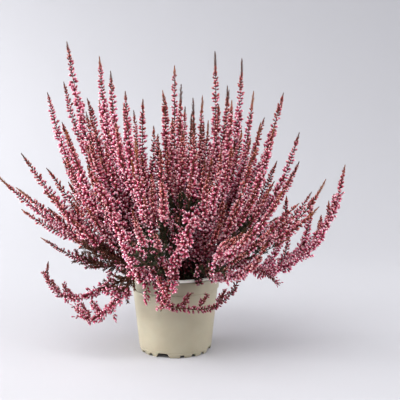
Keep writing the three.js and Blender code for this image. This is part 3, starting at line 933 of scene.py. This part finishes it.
# Leafy shoots that stand round the foot of a rising spray: how many, how far up it they reach,
# their length and slant, and how much browner or greener than its foot they are.
BASAL_SHOOTS = 4
BASAL_REACH = (3, 16)
BASAL_LENGTH = (16, 34)
BASAL_SLANT = 35
BASAL_TONE = (-0.1, 0.3)
# Share of the leafy twigs that end in a few buds, on most sprays and on those that flower early.
SPRIG_SHARE = 0.3
EARLY_SPRIG_SHARE = 0.5
# Inside the bush, nearer to the pot's axis than this share of the height over the soil, this share
# of the short shoots has died back.
HEART_SHARE = 0.3
DIED_BACK = 0.7
# Sprays past their best have buds that are up to this share smaller.
PAST_SMALLER = 0.25
# What differs from one to the next, least and most: the size of buds and of leaves, the tone of
# leaves, the length of shoots, the gap between whorls and the turn from one whorl to the next. The
# russet of buds has a standard deviation, and each stands at any roll about its own length.
BUD_VARIES = (0.8, 1.15)
LEAF_VARIES = (0.85, 1.15)
TONE_VARIES = (-0.1, 0.1)
SHOOT_VARIES = (0.7, 1.15)
GAP_VARIES = (0.93, 1.07)
TURN_VARIES = (-0.25, 0.25)
RUSSET_VARIES = 0.18
ANY_ROLL = (0, 6.3)
# How far what stands round a stem strays: as a share of the way to the next, and in slant.
ROUND_STRAY = 0.22
SLANT_STRAY = 13


class Spray:
    """Gathers what grows on one spray: stems with their radii, twigs, buds and leaves."""

    def __init__(self, seed):
        self.rng = random.Random(seed)
        self.stems = []
        self.twigs = []
        self.buds = []
        self.leaves = []
        # Each spray has its own cast: how russet its buds and how fox brown its tips are.
        self.russet = self.rng.uniform(*SPRAY_RUSSET)
        self.tip_tone = self.rng.choice(TIP_TONES)
        self.tip_length = self.rng.choice(TIP_LENGTHS)
        self.flowers_from = 0
        self.sprigs = SPRIG_SHARE
        # How far its buds are past their best: smaller and duller.
        self.past = 0.0
        self.vigour = 1.0

    def directions(self, forward, count, lean, stray=SLANT_STRAY, start=None):
        """Directions that stand off a stem, evenly round it, by default from a random start."""
        side, other = sides(forward)
        if start is None:
            start = self.rng.uniform(0, 2 * math.pi)
        for k in range(count):
            place = k + self.rng.uniform(-ROUND_STRAY, ROUND_STRAY)
            around = start + place * 2 * math.pi / count
            off = side * math.cos(around) + other * math.sin(around)
            angle = math.radians(lean + self.rng.uniform(-stray, stray))
            yield unit(forward * math.cos(angle) + off * math.sin(angle)), off

    def along(self, line, distances, count, lean):
        """Places on a line, with the directions that stand off it at each."""
        for place, forward in zip(*places_along(line, distances)):
            for axis, off in self.directions(forward, count, lean):
                yield place, axis, off

    def whole(self, count):
        """A whole number that is the given count on average."""
        return int(count + self.rng.random())

    def whorl(self, point, forward, count, size, stem, lean, russet=0.0, loose=1.2, start=None):
        """A whorl of buds on their stalks, some with a leaf under them."""
        for axis, off in self.directions(forward, count, lean, 10 + 6 * loose, start):
            scale = size * self.vigour * self.rng.uniform(*BUD_VARIES)
            foot = point + off * stem * 0.6 + forward * self.rng.uniform(-loose, loose)
            tone = self.russet + russet + self.rng.gauss(0, RUSSET_VARIES)
            self.buds.append((*foot, *axis, BUD_LENGTH * scale, BUD_WIDTH * scale,
                              self.rng.uniform(*ANY_ROLL), min(1.0, max(0.0, tone))))
            if self.rng.random() < BUDS_WITH_LEAF:
                self.leaf(foot - forward * 0.8, unit(axis + forward),
                          self.rng.uniform(*BUD_LEAF_TONE))

    def leaf(self, point, axis, tone, size=1.0):
        self.leaves.append((*point, *axis, LEAF_LENGTH * size * self.rng.uniform(*LEAF_VARIES),
                            LEAF_WIDTH * size, self.rng.uniform(*ANY_ROLL),
                            tone + self.rng.uniform(*TONE_VARIES)))

    def twig(self, point, axis, length, thickness):
        """A bare twig, which has no roll, tone or shade."""
        self.twigs.append((*point, *axis, length, thickness, 0.0, 0.0, 0.0))

    def growing_point(self, line, length):
        """Scale leaves that overlap in a slim spindle up to the tip of a spike, where they are
        the smallest and lie the closest."""
        total = lengths_along(line)[-1]
        distances = np.arange(total - length - 3, total - 0.6, TIP_LEAF_GAP)
        for place, forward, distance in zip(*places_along(line, distances), distances):
            below = total - distance
            for axis, off in self.directions(forward, 3, min(40, 10 + 3 * below), stray=9):
                foot = place + off * min(0.5, 0.1 + 0.05 * below)
                self.leaf(foot, axis, self.tip_tone, min(1.0, 0.6 + 0.04 * below))

    def scales(self, line, start, end, radius, tone, gap, size, lean):
        """Scale leaves that stand off a stretch of stem, three at a time."""
        for place, axis, off in self.along(line, np.arange(start, end, gap), 3, lean):
            self.leaf(place + off * radius * 0.5, axis, tone, size)

    def leafy_twig(self, point, direction, length, tone):
        """A short twig clothed in close scale leaves."""
        axis = unit(direction + UP * 0.35)
        self.twig(point, axis, length, TWIG_THICKNESS)
        line = np.array([point, point + axis * length])
        self.scales(line, 1.0, length, radius=0.4, tone=tone, gap=1.6, size=1.15, lean=44)
        if self.rng.random() < self.sprigs:
            for distance in np.arange(length * 0.6, length + 1, SHOOT_GAP):
                self.whorl(point + axis * distance, axis, 3, size=0.9, stem=0.3, lean=45,
                           russet=0.1)

    def basal_shoots(self, line, tone):
        """Leafy shoots that stand round the foot of a spray and lean out over the rim."""
        outward = unit(np.array([line[0][0], line[0][1], 0.0]) + UP * 0.01)
        distances = np.linspace(*BASAL_REACH, BASAL_SHOOTS)
        for place, axis, _ in self.along(line, distances, 1, BASAL_SLANT):
            self.leafy_twig(place, axis + outward * 0.25, self.rng.uniform(*BASAL_LENGTH),
                            tone + self.rng.uniform(*BASAL_TONE))

    def flower_shoot(self, point, direction, length, size):
        """A short side shoot with a few close whorls and a bud at its end."""
        axis = unit(direction + UP * 0.3)
        self.twig(point, axis, length, SHOOT_THICKNESS)
        for distance in np.arange(min(2.4, length / 2), length - 1, SHOOT_GAP):
            self.whorl(point + axis * distance, axis, self.whole(SHOOT_BUDS), size * 0.95,
                       stem=0.3, lean=52)
        self.whorl(point + axis * length, axis, 2, size * 0.85, stem=0.1, lean=18)

    def thinned(self, point):
        """Whether a short shoot is left out, deep inside the bush."""
        inside = math.hypot(point[0], point[1]) < HEART_SHARE * (point[2] - SOIL_TOP)
        return inside and self.rng.random() < DIED_BACK

    def spike(self, line, root_radius, leafy_foot, thickness=1.0, bare_tip=BARE_TIP, head=0.0):
        """A flower spike along a line: a scaly tip, then whorls of buds, then short shoots among
        them. Its head start makes a spike that is as full near its tip as others lower down."""
        total = lengths_along(line)[-1]
        self.stems.append((line, root_radius, TIP_RADIUS))
        self.growing_point(line, bare_tip)
        from_tip = bare_tip
        turn = self.rng.uniform(0, math.pi)
        while from_tip < total - leafy_foot:
            place, forward = (pair[0] for pair in places_along(line, [total - from_tip]))
            stem = graded(from_tip, [(0, TIP_RADIUS), (total, root_radius)])
            at = from_tip - bare_tip + BARE_TIP
            if place[2] < self.flowers_from:
                for axis, _ in self.directions(forward, self.whole(TWIGS_AT_PLACE), TWIG_SLANT):
                    self.leafy_twig(place, axis, self.rng.uniform(*TWIG_LENGTH),
                                    graded(line[-1][0], FOOT_TONE))
                from_tip += TWIG_GAP
                continue
            size = graded(at, BUD_SIZE)
            pairs = self.whole(graded(at, PAIRS_IN_WHORL))
            for pair in range(pairs):
                self.whorl(place, forward, 2, size, stem, graded(at, BUD_LEAN), graded(at, RUSSET),
                           graded(at, WHORL_SPREAD), turn + (pair - (pairs - 1) / 2) * PAIRS_APART)
            turn += math.pi / 2 + self.rng.uniform(*TURN_VARIES)
            reach = graded(at + head, SHOOT_LENGTH) * thickness
            if reach > SHORTEST_SHOOT and not self.thinned(place):
                shoots = self.whole(graded(at + head, SHOOTS_AT_WHORL))
                for axis, _ in self.directions(forward, shoots, SHOOT_SLANT):
                    self.flower_shoot(place, axis, reach * self.rng.uniform(*SHOOT_VARIES), size)
            gap = graded(at, WHORL_GAP) * self.rng.uniform(*GAP_VARIES)
            from_tip += gap * (1.0 if self.flowers_from else TRAILING_CLOSER)

    def leafy_stretch(self, line, start, end, radius, tone, count=2):
        """Scale leaves and leafy twigs on the lower part of a stem."""
        self.scales(line, start, end, radius, tone, gap=2.2, size=1.1, lean=30)
        distances = np.arange(start + 3, end, TWIG_GAP)
        for place, axis, _ in self.along(line, distances, count, FOOT_TWIG_SLANT):
            self.leafy_twig(place, axis, self.rng.uniform(*TWIG_LENGTH), tone)

    def build(self, name, materials):
        """One mesh of stems, twigs, buds and leaves, each on its own material slot."""
        stems = tubes(name, self.stems)
        piece = planted(name + "_growth", [
            (copies(TWIG, self.twigs), BARK_SLOT),
            (copies(BUD, self.buds), PETAL_SLOT),
            (copies(LEAF, self.leaves), LEAF_SLOT),
        ], materials)
        for material in materials:
            stems.data.materials.append(material)
        piece = joined([stems, piece])
        piece.name = name
        smooth(piece)
        return piece


# Distance between the corners of a stem.
STEM_STEP = 9


def tubes(name, stems):
    """Tapered round stems, closed at both ends, as one mesh."""
    curve = bpy.data.curves.new(name, "CURVE")
    curve.dimensions = "3D"
    curve.bevel_depth = MM
    curve.bevel_resolution = 1
    curve.use_fill_caps = True
    for line, root_radius, tip_radius in stems:
        total = lengths_along(line)[-1]
        distances = np.linspace(0, total, max(2, round(total / STEM_STEP)) + 1)
        points, _ = places_along(line, distances)
        strand = curve.splines.new("POLY")
        strand.points.add(len(points) - 1)
        radii = graded(distances, [(0, root_radius), (total, tip_radius)])
        for corner, point, radius in zip(strand.points, points, radii):
            corner.co = (*(point * MM), 1.0)
            corner.radius = radius
    piece = bpy.data.objects.new(name, curve)
    bpy.context.scene.collection.objects.link(piece)
    deselect_all()
    piece.select_set(True)
    bpy.context.view_layer.objects.active = piece
    bpy.ops.object.convert(target="MESH")
    return bpy.context.active_object


def planted(name, batches, materials):
    """A mesh of all the copies in the batches, each batch on its own material slot."""
    first = 0
    corners, faces, places, tones, shades, slots = [], [], [], [], [], []
    for batch, slot in batches:
        corners.append(batch["corners"])
        faces.append(batch["faces"] + first)
        places.append(batch["map"])
        tones.append(batch["tone"])
        shades.append(batch["shade"])
        slots.append(np.full(len(batch["faces"]), slot))
        first += len(batch["corners"])
    mesh = bpy.data.meshes.new(name)
    mesh.from_pydata(np.vstack(corners), [], np.vstack(faces))
    mesh.uv_layers.new(name="UVMap").data.foreach_set("uv", np.vstack(places).ravel())
    for attribute, values in (("tone", tones), ("shade", shades)):
        mesh.attributes.new(attribute, "FLOAT", "POINT").data.foreach_set(
            "value", np.concatenate(values))
    for material in materials:
        mesh.materials.append(material)
    mesh.polygons.foreach_set("material_index", np.concatenate(slots))
    piece = bpy.data.objects.new(name, mesh)
    bpy.context.scene.collection.objects.link(piece)
    return piece


# More side spikes of a rising spray, inside the bush: where along the main stem each leaves, is
# widest and ends, how far off it stands, and its turn after the first side spike.
INNER_SIDES = [
    (0.22, 0.36, 0.60, 12, 1.7),
    (0.30, 0.45, 0.70, 15, 3.1),
    (0.38, 0.53, 0.78, 12, 4.5),
]
# How far they stray from that turn, and how much nearer or further off they stand.
INNER_TURN_VARIES = (-0.3, 0.3)
INNER_STANDS_VARY = (0.8, 1.2)
# How thick a side spike's own short shoots are, beside those of its main stem.
SIDE_THICKNESS = 0.7
# How each trailing spray is clothed: length of its leafy foot, thickness of its short shoots, the
# head start that it has on its way to full thickness, its bare tip, and how far it is past its
# best. A foot that is longer than the last of these is the more thickly leaved.
TRAILING_CLOTHING = [
    (64, 0.7, 20, 6, 0.5), (54, 1.4, 90, 5, 0.3), (92, 0.5, 0, 9, 0.6), (30, 1.6, 60, 8, 0),
    (30, 1.1, 80, 4, 0), (30, 0.3, 20, 6, 0.6), (24, 0.9, 60, 4, 0.3), (40, 1.2, 20, 8, 0),
    (24, 0.9, 20, 8, 0), (24, 0.9, 20, 8, 0), (24, 0.9, 20, 8, 0),
]
LONG_FOOT = 50
# Longer side spikes that stand up from the arching spray at the right like the teeth of a comb:
# where each leaves it, and how far its tip is forward of that and above it.
COMB_SPRAY = 7
COMB = [
    (0.18, 34, 62), (0.25, 45, 94), (0.31, 26, 50), (0.37, 40, 90), (0.43, 18, 42), (0.48, 28, 55),
    (0.56, 10, 36), (0.64, 8, 42), (0.73, 4, 30),
]


# Each spray has a seed of its own, counted from this one.
FIRST_SEED = 100


def grow(index, laid):
    """Everything that grows on one spray."""
    spray = Spray(FIRST_SEED + index)
    main = laid["line"]
    foot = np.array([main[0][0], main[0][1], STEM_FOOT])
    spray.stems.append((np.vstack([foot, main[0], main[1]]), STEM_RADIUS, STEM_RADIUS))
    if laid["rises"]:
        late = LATE_SPRAYS.get(index, 0)
        spray.flowers_from = SOIL_TOP + spray.rng.uniform(*FLOWERS_FROM) + late
        if late < 0:
            spray.sprigs = EARLY_SPRIG_SHARE
        tone = graded(main[-1][0], FOOT_TONE)
        spray.leafy_stretch(main, start=4, end=30, radius=STEM_RADIUS, tone=tone)
        spray.basal_shoots(main, tone)
        spray.spike(main, root_radius=1.25, leafy_foot=30, bare_tip=spray.tip_length)
        if laid["side"] is not None:
            spray.spike(laid["side"], root_radius=0.7, leafy_foot=4, thickness=SIDE_THICKNESS,
                        bare_tip=spray.tip_length * 0.8)
        for leaves, widest, ends, stands, turn in INNER_SIDES:
            inner = side_line(main, laid["turn"] + turn + spray.rng.uniform(*INNER_TURN_VARIES),
                              leaves, widest, ends, stands * spray.rng.uniform(*INNER_STANDS_VARY))
            spray.spike(inner, root_radius=0.6, leafy_foot=4, thickness=SIDE_THICKNESS, bare_tip=6)
        return spray
    leafy, thickness, head, bare_tip, spray.past = TRAILING_CLOTHING[index]
    spray.vigour = 1 - PAST_SMALLER * spray.past
    spray.leafy_stretch(main, start=8, end=leafy + 8, radius=1.1, tone=0.5,
                        count=3 if leafy > LONG_FOOT else 2)
    spray.spike(main, STEM_RADIUS, leafy, thickness, bare_tip, head)
    for shoot in laid["shoots"]:
        spray.spike(shoot, root_radius=0.4, leafy_foot=2, thickness=0.6, bare_tip=3, head=70)
    if index == COMB_SPRAY:
        for tooth in COMB:
            spray.spike(tooth_line(main, *tooth), root_radius=0.6, leafy_foot=4, thickness=0.9,
                        bare_tip=5)
    return spray


# The bush is counted out in cubes of this side, and light is followed this many cubes on its way
# to each bud, from a little outside the bud's own cube. Each bud or leaf on the way takes a share.
CUBE = 12.0
CUBES_ON_THE_WAY = 9
FIRST_CUBE = 0.7
BUD_COVERS = 0.05
LEAF_COVERS = 0.012
# A bud looks out in rings of directions: how steeply each rises, and how many are in it.
VIEW_RINGS = [(0.05, 6), (0.8, 6), (2.6, 6)]
# Growth that sees less than the first share of the open is in full shade; from the second up, in
# none.
FULL_SHADE = 0.01
NO_SHADE = 0.12


def open_share(points, cover, low):
    """Share of the light from the sides and from above that reaches each point."""
    size = np.array(cover.shape)
    views = [unit([math.cos(turn), math.sin(turn), rise])
             for rise, count in VIEW_RINGS for turn in np.arange(count) * 2 * math.pi / count]
    total = np.zeros(len(points))
    for view in views:
        passed = np.zeros(len(points))
        for step in range(CUBES_ON_THE_WAY):
            at = np.floor((points + view * CUBE * (step + FIRST_CUBE) - low) / CUBE).astype(int)
            inside = np.all((at >= 0) & (at < size), axis=1)
            passed += np.where(inside, cover[tuple(np.clip(at, 0, size - 1).T)], 0)
        total += np.exp(-passed)
    return total / len(views)


def cast_shade(sprays):
    """Writes on each bud and leaf how deep in the bush's shade it is, which the materials paint
    as shade; buds past their best are darkened the same way.
    """
    buds = np.array([bud[:3] for spray in sprays for bud in spray.buds])
    leaves = np.array([leaf[:3] for spray in sprays for leaf in spray.leaves])
    low = np.minimum(buds.min(axis=0), leaves.min(axis=0)) - CUBE
    high = np.maximum(buds.max(axis=0), leaves.max(axis=0)) + CUBE
    cover = np.zeros(np.ceil((high - low) / CUBE).astype(int) + 1)
    np.add.at(cover, tuple(((buds - low) / CUBE).astype(int).T), BUD_COVERS)
    np.add.at(cover, tuple(((leaves - low) / CUBE).astype(int).T), LEAF_COVERS)
    bud_seen = iter(open_share(buds, cover, low))
    leaf_seen = iter(open_share(leaves, cover, low))
    for spray in sprays:
        spray.buds = [(*bud, max(spray.past, shaded(next(bud_seen)))) for bud in spray.buds]
        spray.leaves = [(*leaf, shaded(next(leaf_seen))) for leaf in spray.leaves]


def shaded(share):
    """How deep in shade growth is that sees this share of the open, from 0 to 1."""
    return min(1.0, max(0.0, (NO_SHADE - share) / (NO_SHADE - FULL_SHADE)))


def make_sprays():
    materials = [bark_material(), petal_material(), leaf_material()]
    sprays = [grow(index, laid) for index, laid in enumerate(lay_out())]
    cast_shade(sprays)
    for index, spray in enumerate(sprays):
        name = f"spray_{index + 1:02d}"
        piece = spray.build("heather_" + name, materials)
        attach(piece, "root")
        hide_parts(name)


# ---- stage ----------------------------------------------------------------------------------

# The stage is in metres, apart from the camera's lens and sensor.
CAMERA_PLACE = (0.0307, -0.820, 0.2592)
CAMERA_PITCH = 5.108
CAMERA_LENS = 60.1
CAMERA_SENSOR = 36
CAMERA_NEAREST = 0.01
# A sweep of pale paper on every side: flat under the pot, then one long bend up into a wall.
BACKDROP_MIDDLE = 0.02
BACKDROP_FLAT = 0.8
BACKDROP_BEND = 2.4
BACKDROP_HEIGHT = 3.4
BACKDROP_STEPS = 31
BACKDROP_SEGMENTS = 96
ROOM_COLOUR = "f6f6fa"
ROOM_LIGHT = 0.045
# Square white lights: the place of each, the point that it faces, its side, its power and the
# spread of its beam in degrees. A wide one stands low at the left, one over each shoulder of the
# camera, a large one high in front, a weak one low at the right and two that light the paper
# behind. Three small ones, with grids that narrow their beams, brighten the pot from the left, from
# the front left and from the right.
OPEN = 180
GRIDDED = 24
SOFTBOXES = [
    ((-1.5, -0.1, 0.5), (0, 0, 0.12), 1.1, 24.0, OPEN),
    ((-1.5, -0.9, 1.0), (0, 0, 0.1), 1.4, 9.0, OPEN),
    ((1.5, -0.8, 1.2), (0, 0, 0.1), 1.4, 17.0, OPEN),
    ((-0.5, -1.0, 2.0), (0, 0, 0.1), 2.2, 50.0, OPEN),
    ((1.4, 0.15, 0.45), (0, 0, 0.12), 1.0, 5.0, OPEN),
    ((-1.4, 0.9, 1.6), (-1.0, 2.6, 0.4), 1.0, 33.0, OPEN),
    ((0.1, 1.1, 2.2), (0, 2.6, 0.6), 1.0, 5.0, OPEN),
    ((-1.2, 0.0, 0.13), (0, 0, 0.05), 0.4, 0.36, GRIDDED),
    ((-1.0, -0.55, 0.1), (0, 0, 0.05), 0.16, 0.09, GRIDDED),
    ((1.2, 0.15, 0.1), (0, 0, 0.06), 0.3, 0.12, GRIDDED),
]


def make_camera():
    bpy.ops.object.camera_add(
        location=CAMERA_PLACE, rotation=(math.radians(90 - CAMERA_PITCH), 0, 0))
    camera = bpy.context.active_object
    camera.data.sensor_width = CAMERA_SENSOR
    camera.data.lens = CAMERA_LENS
    camera.data.clip_start = CAMERA_NEAREST
    bpy.context.scene.camera = camera


def make_backdrop():
    """A pale floor that bends up into a wall on every side, open at the top."""
    bend = [
        (BACKDROP_FLAT + BACKDROP_BEND * math.sin(angle), BACKDROP_BEND * (1 - math.cos(angle)))
        for angle in np.radians(np.linspace(0, 90, BACKDROP_STEPS))
    ]
    top = (BACKDROP_FLAT + BACKDROP_BEND, BACKDROP_HEIGHT)
    profile = [(radius / MM, z / MM) for radius, z in [(BACKDROP_MIDDLE, 0), *bend, top]]
    backdrop = turn_profile("backdrop", profile, BACKDROP_SEGMENTS)
    edit(backdrop, "FACE")
    select_where(backdrop, lambda co: co.z > BACKDROP_HEIGHT - 0.1)
    bpy.ops.mesh.delete(type="ONLY_FACE")
    bpy.ops.mesh.select_all(action="SELECT")
    bpy.ops.mesh.flip_normals()
    close_edit()
    smooth(backdrop)
    backdrop.data.materials.append(paper_material())


def add_softbox(place, aim, size, power, beam):
    """A square area light that faces a point."""
    bpy.ops.object.light_add(type="AREA", location=place)
    light = bpy.context.active_object
    light.data.size = size
    light.data.energy = power
    light.data.spread = math.radians(beam)
    light.visible_camera = False
    direction = unit(np.subtract(aim, place))
    light.rotation_euler = (
        math.acos(-direction[2]), 0, math.atan2(direction[1], direction[0]) - math.pi / 2)


def light_stage():
    world = bpy.data.worlds.new("Studio_Air")
    world.use_nodes = True
    air = world.node_tree.nodes["Background"]
    air.inputs[0].default_value = linear(ROOM_COLOUR)
    air.inputs[1].default_value = ROOM_LIGHT
    bpy.context.scene.world = world
    bpy.context.scene.view_settings.view_transform = "Standard"
    for softbox in SOFTBOXES:
        add_softbox(*softbox)


make_camera()
make_backdrop()
light_stage()
make_pot()
make_peat()
make_sprays()
